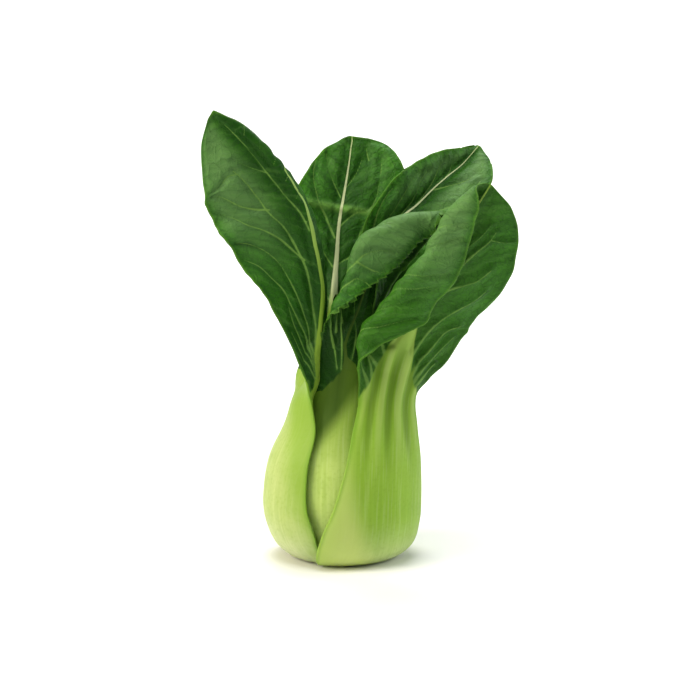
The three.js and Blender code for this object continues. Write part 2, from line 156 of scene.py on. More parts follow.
# ---- Front right leaf --------------------------------------------------------------------------
# The outermost leaf, one grown sheet: a thick crisp stalk that is the broad right side of the bulb
# and runs on as the midrib of a thin blade. The left half of the blade is folded forward over the
# midrib, so that its inner face shows. It grows out of the stem, like every other leaf.
FLAT = (0, 0)
WHOLE = (0, 1, 0, 1)
EDGE_THICKNESS, BLADE_THICKNESS = 0.9, 0.5
STALK_THICKNESS, NECK_THICKNESS, RIB_THICKNESS = 8.5, 6, 1.3
RIB_HALF_WIDTH, RIB_TIP_HALF_WIDTH = 3.8, 0.9
WALK_STEPS = 24
TANGENT_REACH = 4  # mm each way for the direction along the leaf
X, SIDE, STALK, HALF, LIFT, CURL, ZONE = 0, 3, 4, 5, 7, 9, 11  # columns of a station


def stalk(at, side, half, radius):
    curl = [math.degrees(width / radius) for width in half]
    return (*at, side, 1, *half, *FLAT, *curl, *WHOLE)


def blade(at, side, half, lift=FLAT, curl=FLAT, zone=WHOLE):
    return (*at, side, 0, *half, *lift, *curl, *zone)


def unit(v):
    return v / np.maximum(np.linalg.norm(v, axis=-1, keepdims=True), 1e-9)


def ease(value, low, high):
    t = np.clip((value - low) / (high - low), 0, 1)
    return t * t * (3 - 2 * t)


def cubic(values, slopes, i, span, t):
    """Value at share t of the smooth piece between knots i and i + 1."""
    return (
        values[i] * (2 * t**3 - 3 * t**2 + 1) + slopes[i] * span * (t**3 - 2 * t**2 + t)
        + values[i + 1] * (3 * t**2 - 2 * t**3) + slopes[i + 1] * span * (t**3 - t**2)
    )


class Leaf:
    """A leaf as a row of stations from its foot to its tip, and what can be read between them."""

    def __init__(self, name, stalks, blades, thickness=1.0, teeth=(0, 0.0, 5.0), ridges=0.0,
                 midrib=1.0, midrib_path=((0, 0),), bloom=(0, 0), fold=(0, 0), behind=0.0,
                 flesh=((-14, 30, 30), (-6, 9, 9), (2, 3, 3), (10, 0, 0))):
        self.name, self.thickness = name, thickness
        self.teeth = teeth  # which half is toothed, how deep and how far apart, mm
        self.ridges = ridges  # rise of the lengthwise ridges near the neck, mm
        self.midrib = midrib  # pale width of the midrib, against a common leaf's
        self.fold = fold  # where a crease once pressed across the blade stands up, and how high
        self.bloom = bloom  # painted sheen: how much paler, greyer green is painted on the left and the right half
        self.flesh = np.array(flesh)  # from the neck up: how far pale flesh reaches each way, mm
        self.behind = behind  # how much further up it runs on the leaf's back, mm
        self.midrib_path = midrib_path  # along and across of the pale line, where not central
        rows = [*(stalk(*row) for row in stalks), *(blade(*row) for row in blades)]
        self.table = np.array(rows, float)
        steps = np.linalg.norm(np.diff(self.table[:, :3], axis=0), axis=1)
        self.knots = np.concatenate([[0], np.cumsum(steps)])
        self.length = self.knots[-1]
        self.blade_start = self.knots[int(np.argmin(self.table[:, STALK]))]

    def read(self, column, along):
        """A station number at a distance along the leaf, by cubic pieces with sloped joins."""
        k, v = self.knots, self.table[:, column]
        last = len(k) - 1
        i = np.clip(np.searchsorted(k, along) - 1, 0, last - 1)
        a, b = np.maximum(np.arange(last + 1) - 1, 0), np.minimum(np.arange(last + 1) + 1, last)
        slope = (v[b] - v[a]) / (k[b] - k[a])
        span = k[i + 1] - k[i]
        return cubic(v, slope, i, span, (along - k[i]) / span)

    def read_half(self, column, along, across, step=1):
        return np.where(across < 0, self.read(column, along), self.read(column + step, along))

    def middle(self, along):
        return np.stack([self.read(X + i, along) for i in range(3)], axis=-1)

    def opened(self, along):
        """Share of the way from the stalk's neck to the tip."""
        return np.clip((along - self.blade_start) / (self.length - self.blade_start), 0, 1)

    def width(self, along, across):
        return np.maximum(self.read_half(HALF, along, across), 0.5)

    def back(self, along, across):
        """Point of the leaf's back: a walk out from the midrib that turns as the half curls."""
        along, across = np.broadcast_arrays(along, across)
        ahead = self.middle(np.minimum(along + TANGENT_REACH, self.length))
        tangent = unit(ahead - self.middle(np.maximum(along - TANGENT_REACH, 0)))
        turn = np.radians(self.read(SIDE, along))
        level = np.clip(self.read(STALK, along), 0, 1)[..., None]
        side = np.stack([np.cos(turn), np.sin(turn), 0 * turn], axis=-1)
        inwards = np.stack([-side[..., 1], side[..., 0], 0 * turn], axis=-1) * level
        lean = np.sum(side * tangent, axis=-1, keepdims=True)
        side = unit(side - tangent * lean * (1 - level))
        inwards = unit(inwards + np.cross(tangent, side) * (1 - level))
        width = self.width(along, across)
        lift = np.radians(self.read_half(LIFT, along, across))
        curl = np.radians(self.read_half(CURL, along, across))
        low, high = (self.read_half(ZONE + end, along, across, step=2) for end in (0, 1))
        point = self.middle(along)
        share = np.abs(across) / WALK_STEPS
        pace = width * share
        for i in range(WALK_STEPS):
            q = (i + 0.5) * share
            angle = lift * ease(q * width, 0, 3) + curl * np.clip((q - low) / (high - low), 0, 1)
            point = point + side * (np.sign(across) * pace * np.cos(angle))[..., None]
            point = point + inwards * (pace * np.sin(angle))[..., None]
        return point

    def inward(self, along, across):
        """Unit vector from the back towards the inner face."""
        lengthwise = self.back(np.minimum(along + 0.4, self.length), across) - self.back(
            np.maximum(along - 0.4, 0), across)
        crosswise = self.back(along, np.minimum(across + 0.02, 1)) - self.back(
            along, np.maximum(across - 0.02, -1))
        return unit(np.cross(lengthwise, crosswise))

    def rib_half(self, along, across):
        opened = self.opened(along)
        narrow = RIB_HALF_WIDTH + (RIB_TIP_HALF_WIDTH - RIB_HALF_WIDTH) * opened
        width = self.width(along, across)
        return width + (narrow - width) * np.minimum(1, opened * 8)

    def swelling(self, along, across):
        """Thickness beyond that of the edge: the stalk's flesh, then the midrib's."""
        opened = self.opened(along)
        foot = 0.55 + 0.45 * (1 - np.exp(-along / 9.5))
        neck = ease(along, 0.45 * self.blade_start, self.blade_start)
        flesh = (STALK_THICKNESS + (NECK_THICKNESS - STALK_THICKNESS) * neck) * foot
        share = 1 - (1 - opened) ** 2.2
        middle = self.thickness * (flesh + (RIB_THICKNESS - flesh) * share)
        q = np.abs(across) * self.width(along, across) / self.rib_half(along, across)
        fullness = (1 - np.minimum(q, 1) ** 2) ** (0.8 + 0.6 * np.minimum(1, opened * 4))
        return np.maximum(middle - EDGE_THICKNESS, 0.2) * fullness


chance = np.random.default_rng(41)
SIDE_VEIN = 0.42  # half width of a common side vein where it leaves the midrib, mm
VEIN_TAPER = 0.35
PALE_LIMIT = 2.5  # mm over which pale flesh gives way to green
RIDGE_SPACING = 0.56  # of a half's width at the neck
WAVE_HEIGHT, WAVE_LENGTH = 0.5, 27  # of the margin, mm
PUFF_HEIGHT = 0.8  # of the green between the side veins, mm
CREASE_HALF_WIDTH = 1.7
VEIN_OUT, VEIN_IN = 0.35, 0.2  # how far a vein stands out behind and is sunken in front, mm
RIM_ROUNDING = 0.3  # mm


def vein(*points, width=SIDE_VEIN):
    """Rows of across, along and half width, in mm, on a smooth line through the points."""
    points = np.array(points, float)
    knots = np.concatenate([[0], np.cumsum(np.linalg.norm(np.diff(points, axis=0), axis=1))])
    slopes = np.gradient(points, knots, axis=0)
    at = np.linspace(0, knots[-1], 4 * len(points))
    i = np.clip(np.searchsorted(knots, at) - 1, 0, len(points) - 2)
    span = (knots[i + 1] - knots[i])[:, None]
    line = cubic(points, slopes, i, span, (at - knots[i])[:, None] / span)
    widths = width * (1 + (VEIN_TAPER - 1) * at / knots[-1])
    return np.column_stack([line, widths])


def grown_veins(leaf, halves=(0, 1), spacing=10.0, width=SIDE_VEIN):
    """Side veins for the halves named, spaced and bent a little unevenly as growth leaves them."""
    veins = []
    for half in halves:
        def room(y):
            return float(leaf.width(np.array(y), np.array(half - 0.5)))

        sign = (-1, 1)[half]
        start = leaf.blade_start - 3 + 5 * half * chance.random()
        while start < leaf.length - 12:
            opened = float(leaf.opened(np.array(start)))
            steep = 2.1 - 1.3 * min(1, opened * 2) + 0.1 * chance.standard_normal()
            points = [(0, start)]
            for reach in (0.25, 0.5, 0.75, 0.93):
                x, y = points[-1]
                step = max(reach * room(y) - abs(x), 0.4)
                y = min(y + step * (steep + 0.5 * reach**2), leaf.length - 2)
                points.append((x + sign * step, y))
            veins.append(vein(*points, width=width))
            x, y = points[2]
            reach = 0.9 * room(y) - abs(x)
            fork = [(x + sign * reach * t, y + reach * (0.25 * t + 0.3 * t * t))
                    for t in (0, 0.33, 0.66, 1)]
            veins.append(vein(*fork, width=0.6 * width))
            start += spacing * (0.8 + 0.4 * chance.random()) * (1 - 0.25 * opened)
    return veins


def twigs(veins, spacing=6.0):
    """Thin branches that leave the side veins on alternate sides."""
    grown = []
    for stem_line in veins:
        gaps = np.linalg.norm(np.diff(stem_line[:, :2], axis=0), axis=1)
        run = np.concatenate([[0], np.cumsum(gaps)])
        at, side = spacing * (0.4 + 0.5 * chance.random()), chance.choice((-1, 1))
        while at < run[-1]:
            i = int(np.searchsorted(run, at)) - 1
            x, y, width = stem_line[i]
            at += spacing * (0.7 + 0.6 * chance.random())
            if abs(x) < 4.5:
                continue
            heading = math.atan2(*(stem_line[i + 1, :2] - stem_line[i, :2])[::-1])
            heading += side * math.radians(50 + 15 * chance.random())
            length = 3.5 + 3 * chance.random()
            bend = side * math.radians(-18)
            points = [(x, y)]
            for step in range(3):
                x += length / 3 * math.cos(heading + step * bend)
                y += length / 3 * math.sin(heading + step * bend)
                points.append((x, y))
            grown.append(vein(*points, width=min(0.3, 0.6 * width)))
            side = -side
    return grown


def vein_field(across_mm, along_mm, veins):
    """Distance to the nearest vein in mm, and the same over that vein's half width."""
    nearest = np.full(across_mm.shape, 99.0)
    relative = np.full(across_mm.shape, 99.0)
    for line in veins:
        low, high = line.min(axis=0) - 5, line.max(axis=0) + 5
        near = (across_mm > low[0]) & (across_mm < high[0])
        near &= (along_mm > low[1]) & (along_mm < high[1])
        if not near.any():
            continue
        p = np.stack([across_mm[near], along_mm[near]], axis=-1)
        best, best_relative = nearest[near], relative[near]
        for a, b in zip(line, line[1:]):
            run = b[:2] - a[:2]
            t = np.clip((p - a[:2]) @ run / max(run @ run, 1e-9), 0, 1)
            gap = np.linalg.norm(p - a[:2] - t[:, None] * run, axis=-1)
            best = np.minimum(best, gap)
            best_relative = np.minimum(best_relative, gap / (a[2] + t * (b[2] - a[2])))
        nearest[near], relative[near] = best, best_relative
    return nearest, relative


def shaped(leaf, rows, columns, veins, small_veins):
    """Both faces of the leaf on a grid, and what its skin needs to know at each point."""
    along, across = np.meshgrid(rows, columns, indexing="ij")
    width = leaf.width(along, across)
    opened = leaf.opened(along)

    # Margin: small forward-pointing teeth where the leaf has them, and a little unevenness.
    uneven = 0.1 * np.sin(along / 1.3 + 2 * np.sin(along / 7)) + 0.2 * np.sin(along / 4.3)
    toothed = across < 0 if leaf.teeth[0] == 0 else across > 0
    tooth = np.where(toothed, leaf.teeth[1], 0) * ((along / leaf.teeth[2]) % 1) ** 1.5
    in_blade = ease(opened, 0, 0.1) * (1 - ease(opened, 0.96, 1))
    growth = (uneven + tooth) * in_blade * ease(np.abs(across), 0.75, 1)
    across = across * (1 + growth / width)
    across_mm = across * width

    gap, relative = vein_field(across_mm, along, veins)
    _, small = vein_field(across_mm, along, small_veins)
    edge = (1 - np.abs(across)) * width + growth
    edge = np.maximum(np.minimum(edge, leaf.length - along), 0)

    # Pale flesh narrows from the whole stalk to the midrib, and the midrib to a thread.
    aside = across_mm - np.interp(along, *zip(*leaf.midrib_path))
    up, *reaches = leaf.flesh.T
    above = along - leaf.blade_start
    ribs = []
    for height in (above - leaf.behind, above):
        reach = np.where(aside < 0, *(np.interp(height, up, sideways) for sideways in reaches))
        pale = leaf.midrib * (0.3 + 1.6 * (1 - opened) ** 1.7) + reach
        ribs.append(1 + (np.abs(aside) - pale) / np.minimum(pale, PALE_LIMIT))
    green = ease(ribs[1], 0.8, 1.3)
    relative = relative / (1 + 1.5 * (1 - ease(above, up[0], up[-1] + 8)) ** 2)

    rib_half = leaf.rib_half(along, across)
    swelling = leaf.swelling(along, across)
    from_rib = np.abs(across_mm) - 0.5 * rib_half
    puffed = ease(np.minimum(gap, from_rib), 0.1, 3.2) * ease(edge, 0, 4) * ease(opened, 0, 0.1)
    raised = np.exp(-((relative / 1.2) ** 2)) * green * ease(opened, -0.01, 0.04)

    q = np.minimum(np.abs(across), 1)
    near_neck = ease(above, -45, -5) * (1 - ease(above, 8, 30)) + 0.15 * ease(along, 12, 30)
    rise = leaf.ridges * near_neck * (1 - ease(opened, 0.1, 0.3))
    stalk_width = leaf.width(np.minimum(along, leaf.blade_start - 10), across)
    beside = across_mm / stalk_width + 0.28 + 0.03 * np.sin(along / 9)
    ridge = rise * (1 - q**6) * np.cos(2 * np.pi * beside / RIDGE_SPACING)
    wave = WAVE_HEIGHT * np.minimum(1, opened * 3) * across**2
    wave = wave * np.sin(2 * np.pi * along / WAVE_LENGTH + np.where(across < 0, 0, 2))
    lull = 0.5 * np.sin(along / 7.1 + across * 3) * np.sin(across_mm / 5.3 + along / 17)
    fold = np.exp(-(((along - leaf.fold[0]) / CREASE_HALF_WIDTH) ** 2))
    puffs = PUFF_HEIGHT * puffed + lull * ease(edge, 0, 6)
    wave = wave + in_blade * puffs + leaf.fold[1] * fold
    outwards = 0.7 * np.minimum(1, opened * 3) * swelling
    # Painted sheen: a paler, greyer green painted on the halves that the leaf names, fading in from
    # the neck, the margin and the midrib.
    bloom = np.where(across < 0, *leaf.bloom) * ease(opened, 0.2, 0.8) * ease(edge, -2, 6)
    bloom = bloom * ease(np.abs(across), 0.08, 0.5)

    inward = leaf.inward(along, across)
    back = leaf.back(along, across)
    outer = back + inward * (wave - outwards - ridge - VEIN_OUT * raised)[..., None]
    sheet = EDGE_THICKNESS + (BLADE_THICKNESS - EDGE_THICKNESS) * ease(opened, -0.01, 0.15)
    inner = back + inward * (wave - outwards + sheet + swelling - VEIN_IN * raised)[..., None]
    facts = {
        "vein": np.minimum(relative, 6), "twig": np.minimum(small, 6),
        "rib": np.minimum(ribs, 4), "opened": opened, "edge": edge, "ridge": ridge,
        "puffed": puffed, "bloom": bloom, "share": across, "pressed": leaf.fold[1] * fold,
        "inner": None,  # 0 on the back and 1 on the inner face
    }
    return outer, inner, across_mm, along, facts


def leaf_piece(leaf, name, rows, columns, veins, small_veins, tip):
    """A closed slab from one grid, both faces set by the leaf's shape; tip rounds its last row."""
    outer, inner, across_mm, along_mm, facts = shaped(leaf, rows, columns, veins, small_veins)
    bm = bmesh.new()
    bmesh.ops.create_grid(bm, x_segments=len(columns) - 1, y_segments=len(rows) - 1, size=0.5)
    lifted = bmesh.ops.extrude_face_region(bm, geom=bm.faces[:], use_keep_orig=True)["geom"]
    bmesh.ops.translate(
        bm, verts=[v for v in lifted if isinstance(v, bmesh.types.BMVert)], vec=(0, 0, 1))
    rim = [e for e in bm.edges if abs(e.verts[0].co.z - e.verts[1].co.z) > 0.5]
    bmesh.ops.subdivide_edges(bm, edges=rim, cuts=1)
    bmesh.ops.recalc_face_normals(bm, faces=bm.faces)
    piece = new_piece(name, bm)
    mesh = piece.data

    flat = np.empty(len(mesh.vertices) * 3)
    mesh.vertices.foreach_get("co", flat)
    flat = flat.reshape(-1, 3)
    i = np.rint((flat[:, 0] + 0.5) * (len(columns) - 1)).astype(int)
    j = np.rint((flat[:, 1] + 0.5) * (len(rows) - 1)).astype(int)
    layer = flat[:, 2]
    place = outer[j, i] * (1 - layer[:, None]) + inner[j, i] * layer[:, None]

    # The middle of the rim stands out, which rounds the margin.
    inside_i = np.clip(i, 1, len(columns) - 2)
    last = len(rows) - 1
    inside_j = np.where(j == last, last - 1, j) if tip else j
    core = (outer[inside_j, inside_i] + inner[inside_j, inside_i]) / 2
    on_rim = (np.abs(layer - 0.5) < 0.2) & ((inside_i != i) | (inside_j != j))
    outward = unit(place - core)
    place = np.where(on_rim[:, None], place + RIM_ROUNDING * outward, place)
    mesh.vertices.foreach_set("co", (place * MM).ravel())

    for fact, values in facts.items():
        if fact == "inner":
            at_points = layer
        elif values.ndim == 3:  # one set for the back and one for the inner face
            at_points = values[0, j, i] * (1 - layer) + values[1, j, i] * layer
        else:
            at_points = values[j, i]
        layer_data = mesh.attributes.new(fact, "FLOAT", "POINT")
        layer_data.data.foreach_set("value", at_points.astype(np.float32))
    corner = np.empty(len(mesh.loops), np.int32)
    mesh.loops.foreach_get("vertex_index", corner)
    sheet = np.stack([across_mm[j, i], along_mm[j, i]], axis=1)[corner] / 100
    mesh.uv_layers.new(name="sheet").data.foreach_set("uv", sheet.ravel())

    ends = np.zeros(len(mesh.edges), bool)
    pairs = np.empty(len(mesh.edges) * 2, np.int32)
    mesh.edges.foreach_get("vertices", pairs)
    a, b = pairs.reshape(-1, 2).T
    for row in (0,) if tip else (0, last):
        ends |= (j[a] == row) & (j[b] == row) & (np.abs(layer[a] - layer[b]) < 0.1)
    mesh.attributes.new("sharp_edge", "BOOLEAN", "EDGE").data.foreach_set("value", ends)
    mesh.update()
    return piece


def leaf_skin(name, foot_green="#d2dfa0", stalk_green="#90b83c", neck_green="#76a02c",
              neck_heights=(55, 92), midrib_green="#8fb24c", midrib_tip=None,
              blade_green="#205a08", back_green="#2f6614", vein_green="#6f9a44", sides=(),
              deep_and_shaded_green="#153d06", tilt=0.02, pleated=0.2):
    """Living brassica leaf, smooth and waxy: deep green blade, pale juicy streaked stalk."""
    material, tree, shader = new_material(name, {
        "Subsurface Radius": (1.0, 1.0, 0.35), "Subsurface Scale": 4 * MM, "IOR": 1.4,
        "Specular IOR Level": 0.2})
    vein, twig, rib, opened, edge, inner, ridge, puffed, bloom, share, pressed = (
        add_node(tree, "Attribute", out="Fac", attribute_name=fact)
        for fact in "vein twig rib opened edge inner ridge puffed bloom share pressed".split())
    uv = add_node(tree, "UVMap", uv_map="sheet")
    sheet = add_node(tree, "VectorMath", {0: uv, 1: (100, 100, 100)}, operation="MULTIPLY")  # mm
    height = add_node(tree, "SeparateXYZ", {0: sheet}, out="Y")
    blotch, speck, fine = (
        add_node(tree, "TexNoise", {"Vector": sheet, "Scale": 1 / size, "Detail": detail})
        for size, detail in ((12, 3), (1.5, 4), (0.4, 5)))  # sizes in mm
    warp = add_node(tree, "TexNoise", {"Vector": sheet, "Scale": 1 / 4, "Detail": 2}, out="Color")
    bent = add_node(tree, "VectorMath", {0: warp, 1: (4, 4, 4), 2: sheet}, operation="MULTIPLY_ADD")
    # The finest veins part the green into cells of 2 to 3 mm, and coarser ones into cells of 5 to
    # 7 mm, sunken and stronger here and there; the darker green along them is painted shade.
    net, coarse = (
        add_node(tree, "TexVoronoi", {"Vector": bent, "Scale": 1 / cell},
                 feature="DISTANCE_TO_EDGE") for cell in (2.4, 6))
    crease = add_node(tree, "Math", {0: speck, 1: 0.16, 2: coarse}, operation="MULTIPLY_ADD")
    out_from_rib = add_node(
        tree, "Math", {0: add_node(tree, "SeparateXYZ", {0: bent}, out="X")}, operation="ABSOLUTE")
    bent_along = add_node(tree, "SeparateXYZ", {0: bent}, out="Y")
    upwards = add_node(
        tree, "Math", {0: out_from_rib, 1: -0.8, 2: bent_along}, operation="MULTIPLY_ADD")
    along_pleat = add_node(tree, "CombineXYZ", {"X": upwards, "Y": out_from_rib})
    # The bundles of the stalk run lengthwise about 3 mm apart, with finer strands 1 mm apart. Fine
    # pleats run out and up from the midrib on both sides of the blade, 2 to 4 mm apart.
    fibres, strands, pleat = (
        add_node(tree, "TexNoise", {"Scale": 1.0, "Detail": detail, "Vector": add_node(
            tree, "VectorMath", {0: place, 1: drawn_out}, operation="MULTIPLY")})
        for place, drawn_out, detail in (
            (sheet, (0.33, 0.014, 1), 3), (sheet, (1.0, 0.04, 1), 2),
            (along_pleat, (0.35, 0.03, 1), 2)))
    # Veins stand out in some places and sink into the green in others.
    patchy = add_node(tree, "Math", {0: blotch, 1: 3, 2: vein}, operation="MULTIPLY_ADD")
    slanted = add_node(tree, "Math", {0: height, 1: tilt, 2: share}, operation="MULTIPLY_ADD")
    # The pale flesh ends in fingers along its bundles.
    ragged = add_node(tree, "Math", {0: fibres, 1: 1.8, 2: rib}, operation="MULTIPLY_ADD")

    # Each row lays a colour over the ones before: where, between which values, how much at
    # each of them, and the colour.
    flesh = [
        (height, 4, 38, 0, 1, stalk_green),
        (height, *neck_heights, 0, 1, neck_green),
        (blotch, 0.4, 0.7, 0, 0.25, "#87a834"),
        (fibres, 0.48, 0.75, 0, 0.25, "#789f2c"),
        (fibres, 0.25, 0.48, 0.2, 0, "#cfdc98"),
        (strands, 0.5, 0.7, 0, 0.13, "#6f9a2a"),
        (strands, 0.3, 0.48, 0.1, 0, "#e0e8b8"),
        (speck, 0.5, 0.7, 0, 0.15, "#6f9428"),
        # The grooves of the neck's ridges are painted darker and their crests paler: painted shade
        # and painted highlight over the ridges' relief.
        (ridge, -0.3, 0, 0.65, 0, "#587c1c"),
        (ridge, 0.02, 0.35, 0, 0.6, "#aac766"),
        (opened, 0.02, 0.2, 0, 1, midrib_green),
        (opened, 0.25, 0.55, 0, 1, midrib_tip or midrib_green),
        # The side rows of each skin, slanting with height, are painted light and shade across the
        # stalk.
        *((slanted, *row) for row in sides),
        (edge, 0, 13, 0.35, 0, "#7fa434"),
        (edge, 0, 2, 0.6, 0, "#6c9a28"),
    ]
    blade = [
        (inner, 0, 1, 0, 1, blade_green),
        (blotch, 0.38, 0.7, 0, 0.5, "#417f1c"),
        (speck, 0.35, 0.75, 0, 0.4, "#174308"),
        # The puffed green between the veins is painted lighter: painted highlight on the puffs.
        (puffed, 0, 1, 0, 0.25, "#4a8c22"),
        (net, 0, 0.12, 0.3, 0, "#153f06"),
        # Darker towards the blade's base is painted shade. Darker over the middle of the blade and
        # beside the midrib is in part painted shade and in part the leaf's own deeper green.
        (opened, 0, 0.5, 0.7, 0, deep_and_shaded_green),
        (edge, 4, 28, 0, 0.6, deep_and_shaded_green),
        (out_from_rib, 2, 13, 0.5, 0, deep_and_shaded_green),
        # Painted sheen on the halves named by each leaf.
        (bloom, 0, 1, 0, 0.75, "#628a4e"),
        # The crease across the back leaf is painted a lighter green where it stands up: painted
        # highlight.
        (pressed, 0, 1, 0, 0.85, "#64953e"),
        # The pleats are painted darker in their hollows and lighter on their crests: painted shade
        # and painted highlight over their bump.
        (pleat, 0.34, 0.5, pleated, 0, "#143a08"),
        (pleat, 0.52, 0.7, 0, 0.22, "#58893a"),
        (crease, 0.08, 0.13, 0.2, 0, "#133a06"),
        (edge, 0, 1, 0.4, 0, "#62952c"),
        (twig, 0.2, 2.4, 0.45, 0, "#143c06"),
        (vein, 0.8, 3.6, 0.12, 0, "#4c822c"),
        (patchy, 1.7, 3.0, 0.75, 0, vein_green),
    ]
    for colour, rows in ((foot_green, flesh), (back_green, blade)):
        for where, low, high, at_low, at_high, tint in rows:
            amount = add_node(tree, "MapRange", {
                "Value": where, "From Min": low, "From Max": high,
                "To Min": at_low, "To Max": at_high,
            }, interpolation_type="SMOOTHSTEP")
            colour = add_node(
                tree, "Mix", {"Factor": amount, 6: colour, 7: tint}, out=2, data_type="RGBA")
        blade.append((ragged, 1.7, 2.15, 1, 0, colour))
    tree.links.new(colour, shader.inputs["Base Color"])

    seams = add_node(tree, "MapRange", {"Value": net, "From Max": 0.1, "To Max": 0.5})
    grain = add_node(tree, "Math", {0: fine, 1: 0.25, 2: seams}, operation="MULTIPLY_ADD")
    sunken = add_node(tree, "MapRange", {
        "Value": crease, "From Min": 0.08, "From Max": 0.2, "To Max": 0.5})
    creased = add_node(tree, "Math", {0: grain, 1: sunken}, operation="ADD")
    uneven = add_node(
        tree, "Math", {0: pleat, 1: 8 * pleated, 2: creased}, operation="MULTIPLY_ADD")
    relief = add_node(tree, "MapRange", {
        "Value": rib, "From Min": 0.8, "From Max": 1.3, "To Min": 0.06, "To Max": 0.8})
    bump = add_node(tree, "Bump", {"Height": uneven, "Distance": 0.25 * MM, "Strength": relief})
    tree.links.new(bump, shader.inputs["Normal"])
    gloss = add_node(tree, "MapRange", {
        "Value": speck, "From Min": 0.2, "From Max": 0.8, "To Min": 0.42, "To Max": 0.58})
    tree.links.new(gloss, shader.inputs["Roughness"])
    # Light soaks a few mm into the juicy stalk, less and less towards the neck.
    soak = add_node(tree, "MapRange", {
        "Value": height, "From Min": 40, "From Max": 65, "To Min": 0.3, "To Max": 0.0})
    tree.links.new(soak, shader.inputs["Subsurface Weight"])
    return material


ROW_STALK, ROW_BLADE, COLUMN = 1.3, 0.5, 0.5  # mm between rows and columns of the mesh


def make_leaf(leaf, skin, drawn=(), grown=(), coarse=1.0):
    """The stalk and the blade of one leaf, which meet at the neck. Each of the drawn veins is a row
    of its points, across and along, and then its half width, all in mm."""
    veins = [*grown, *(vein(*points, width=width) for *points, width in drawn)]
    small_veins = twigs(veins)
    widths = [leaf.table[:, HALF + k].max() for k in (0, 1)]
    counts = [max(int(width / (COLUMN * coarse)), 8) for width in widths]
    columns = np.concatenate([
        np.linspace(-1, 0, counts[0], endpoint=False), np.linspace(0, 1, counts[1] + 1)])
    low = int(leaf.blade_start / (ROW_STALK * coarse))
    high = int((leaf.length - leaf.blade_start) / (ROW_BLADE * coarse))
    spans = {
        "stalk": np.linspace(0, leaf.blade_start, low + 1),
        "blade": leaf.blade_start
        + (leaf.length - leaf.blade_start) * (1 - (1 - np.linspace(0, 1, high + 1)) ** 1.2),
    }
    for part, rows in spans.items():
        name = f"{leaf.name}_{part}"
        piece = leaf_piece(leaf, f"{name}_grown", rows, columns, veins, small_veins,
                           tip=part == "blade")
        piece.data.materials.append(skin)
        stand_for(piece, part, name)


front_right = Leaf("leaf_front_right", [
    ([5.5, -8.9, 3.2], 33, [9, 9], 11),
    ([9.3, -15, 0.8], 33, [17, 15.5], 17.5),
    ([12.3, -19.7, 1], 33, [22.5, 20], 25),
    ([15.1, -24.3, 6], 33, [26, 24], 32),
    ([16.8, -27, 16], 33, [25, 26], 34),
    ([17.2, -27.2, 25], 33, [21.5, 26.5], 34),
    ([17.8, -25, 40], 31, [17.2, 23], 31),
    ([18.3, -20.5, 54], 28, [14.5, 17.5], 27),
    ([18.8, -17, 66], 24, [12.5, 14.3], 25),
], [
    ([20.3, -15.3, 76], 18, [16.5, 17], FLAT, [-50, 26], [0.5, 1, 0, 1]),
    ([22.2, -15, 83.5], 14, [27, 21.5], [4, 4], [-155, 18], [0.53, 0.83, 0, 1]),
    ([24.7, -15, 90], 12, [33, 24], [5, 5], [-172, 20], [0.43, 0.73, 0, 1]),
    ([28.1, -16, 99.5], 8, [34, 26], [8, 5], [-185, 20], [0.29, 0.6, 0, 1]),
    ([33.5, -18, 107.3], 6, [32, 26], [8, 5], [-188, 20], [0.29, 0.62, 0, 1]),
    ([39.5, -20, 115.5], 4, [29.5, 26.3], [8, 5], [-188, 20], [0.26, 0.62, 0, 1]),
    ([45, -22, 129], 2, [25.5, 26], [8, 5], [-188, 20], [0.23, 0.62, 0, 1]),
    ([50.2, -24, 139.6], 0, [19.5, 21], [8, 5], [-178, 15], [0.2, 0.72, 0, 1]),
    ([54.4, -25.9, 146.8], 0, [11.5, 11.8], [5, 5], [-140, 10], [0.14, 0.85, 0, 1]),
    ([56.5, -27, 150.5], 0, [1, 1]),
], ridges=0.4, bloom=(0.9, 0), flesh=((-18, 40, 40), (-14, 17, 16), (-10, 11, 12), (0, 6, 6.5),
                                      (9, 3.8, 5), (15, 2, 2.5), (26, 0, 0)))
# The pale patch on the lower left of the stalk is a painted highlight on the side the light comes
# from.
outer_skin = leaf_skin("living brassica leaf, waxy skin",
                       sides=((-0.05, 0.45, 0.85, 0, "#c6d87c"),), blade_green="#2a6409",
                       deep_and_shaded_green="#2c5a0c")
make_leaf(front_right, outer_skin, [
    ((-5, 93), (-12, 98), (-18, 103), (-24, 110), (-29, 118), 0.4),
    ((-3, 96), (-9, 104), (-14, 110), (-17, 115), (-20.5, 121), (-24, 126), SIDE_VEIN),
    ((-4, 106), (-10, 115), (-14, 121), (-17, 125), (-21, 128), (-26, 134), 0.4),
    ((-3, 114), (-9, 122), (-14, 129), (-17.5, 133), (-21, 137), (-25, 140), SIDE_VEIN),
    ((-2, 130), (-8, 139), (-13, 145), (-16, 150), (-19.5, 154), (-22, 156), SIDE_VEIN),
    ((-2, 142), (-8, 150), (-12, 155), (-15, 158.5), (-19, 162), 0.4),
    ((-8, 84), (-10.8, 89), (-13.6, 92.5), (-18, 97), 0.4),
    ((-7, 85), (-8.7, 90), (-10.3, 94), (-13.5, 100), 0.45),
    ((0.5, 128), (3, 138), (5.7, 145), (9, 151), (11.7, 156), (12.3, 161), 0.6),
    ((0.5, 120), (3, 128), (6.5, 134.5), (10, 137.5), (14, 140.5), (17.5, 145), 0.6),
    ((6.5, 88), (6, 98), (6.3, 105), (7.6, 110), (10.5, 117), (13.5, 125), (16.5, 132), (19.5, 138),
     0.6),
    ((7.5, 88), (9, 97), (11, 104), (14, 110), (17.5, 116), (21.5, 122), 0.55),
    ((9, 88), (11.5, 96), (14.5, 102.5), (18, 108), (21, 112), 0.45),
    ((10.5, 87), (14, 95), (17, 101), 0.4),
    ((0.3, 142), (4, 150), (8, 158), (9, 163), 0.35),
    ((12, 157), (17, 158), (22, 160), 0.25),
])

